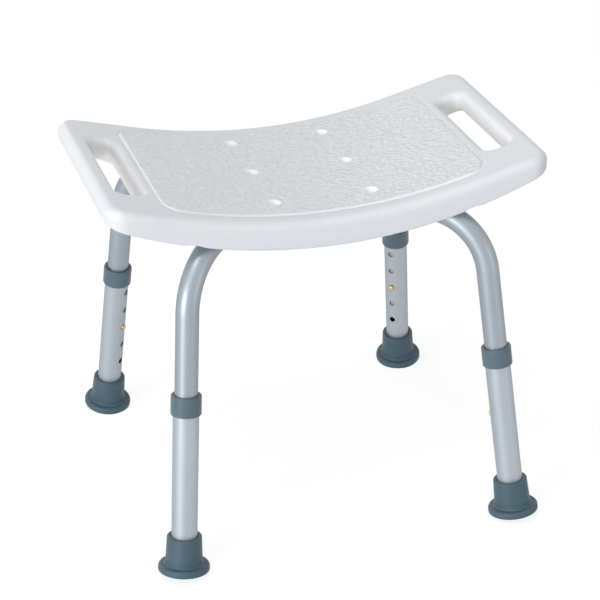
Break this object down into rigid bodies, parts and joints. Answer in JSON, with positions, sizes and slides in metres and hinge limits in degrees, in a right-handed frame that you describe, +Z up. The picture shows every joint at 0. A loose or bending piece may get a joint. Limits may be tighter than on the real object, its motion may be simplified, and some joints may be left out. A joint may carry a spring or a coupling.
{
  "type": "shower bench",
  "caption": "Saddle-shaped bath seat with end grip slots on crossed bent tubes, with telescoping push-button legs and flared rubber tips.",
  "frame": {"origin": "on the floor under the middle of the seat", "axes": "+X along the seat towards its right grip slot, +Y from the front edge to the back edge, +Z up"},
  "size_m": [0.496, 0.447, 0.4152],
  "materials": {
    "seat_plastic": "satin, with a fine pebbled panel",
    "frame_aluminium": "satin anodised",
    "collar_plastic": "satin slate blue-grey",
    "tip_rubber": "matte slate blue-grey",
    "button_brass": "plain turned brass",
    "insert_brass": "plain turned brass",
    "fastener_steel": "stainless, plain",
    "spring_steel": "spring steel, plain"
  },
  "bodies": {
    "bench_frame": {"seat_shell": "seat_plastic", "frame_tube_upper": "frame_aluminium", "frame_tube_lower": "frame_aluminium", "seat_screws": "fastener_steel", "saddle_washers": "fastener_steel", "screw_inserts": "insert_brass", "centre_bolt": "fastener_steel", "centre_washer": "fastener_steel", "centre_insert": "insert_brass", "button_spring_front_left": "spring_steel", "button_spring_front_right": "spring_steel", "button_spring_back_left": "spring_steel", "button_spring_back_right": "spring_steel"},
    "leg_front_left": {"leg_tube_front_left": "frame_aluminium", "leg_collar_front_left": "collar_plastic", "rubber_tip_front_left": "tip_rubber", "tip_washer_front_left": "fastener_steel"},
    "leg_front_right": {"leg_tube_front_right": "frame_aluminium", "leg_collar_front_right": "collar_plastic", "rubber_tip_front_right": "tip_rubber", "tip_washer_front_right": "fastener_steel"},
    "leg_back_left": {"leg_tube_back_left": "frame_aluminium", "leg_collar_back_left": "collar_plastic", "rubber_tip_back_left": "tip_rubber", "tip_washer_back_left": "fastener_steel"},
    "leg_back_right": {"leg_tube_back_right": "frame_aluminium", "leg_collar_back_right": "collar_plastic", "rubber_tip_back_right": "tip_rubber", "tip_washer_back_right": "fastener_steel"},
    "button_front_left": {"snap_button_front_left": "button_brass"},
    "button_front_right": {"snap_button_front_right": "button_brass"},
    "button_back_left": {"snap_button_back_left": "button_brass"},
    "button_back_right": {"snap_button_back_right": "button_brass"}
  },
  "joints": [
    {"name": "leg_slide_front_left", "type": "slide", "parent": "bench_frame", "child": "leg_front_left", "axis": [-0.0841, -0.144, -0.986], "range_m": [-0.0508, 0.0508], "deforming": ["snap_button_front_left"]},
    {"name": "leg_slide_front_right", "type": "slide", "parent": "bench_frame", "child": "leg_front_right", "axis": [0.0841, -0.144, -0.986], "range_m": [-0.0508, 0.0508], "deforming": ["snap_button_front_right"]},
    {"name": "leg_slide_back_left", "type": "slide", "parent": "bench_frame", "child": "leg_back_left", "axis": [-0.0841, 0.144, -0.986], "range_m": [-0.0508, 0.0508], "deforming": ["snap_button_back_left"]},
    {"name": "leg_slide_back_right", "type": "slide", "parent": "bench_frame", "child": "leg_back_right", "axis": [0.0841, 0.144, -0.986], "range_m": [-0.0508, 0.0508], "deforming": ["snap_button_back_right"]},
    {"name": "button_press_front_left", "type": "slide", "parent": "bench_frame", "child": "button_front_left", "axis": [-0.7018, -0.6939, 0.1612], "range_m": [0, 0.0046], "stiffness_N_per_m": 2000, "springref_m": -0.004, "deforming": ["button_spring_front_left"]},
    {"name": "button_press_front_right", "type": "slide", "parent": "bench_frame", "child": "button_front_right", "axis": [0.7018, -0.6939, 0.1612], "range_m": [0, 0.0046], "stiffness_N_per_m": 2000, "springref_m": -0.004, "deforming": ["button_spring_front_right"]},
    {"name": "button_press_back_left", "type": "slide", "parent": "bench_frame", "child": "button_back_left", "axis": [-0.7018, 0.6939, 0.1612], "range_m": [0, 0.0046], "stiffness_N_per_m": 2000, "springref_m": -0.004, "deforming": ["button_spring_back_left"]},
    {"name": "button_press_back_right", "type": "slide", "parent": "bench_frame", "child": "button_back_right", "axis": [0.7018, 0.6939, 0.1612], "range_m": [0, 0.0046], "stiffness_N_per_m": 2000, "springref_m": -0.004, "deforming": ["button_spring_back_right"]}
  ]
}
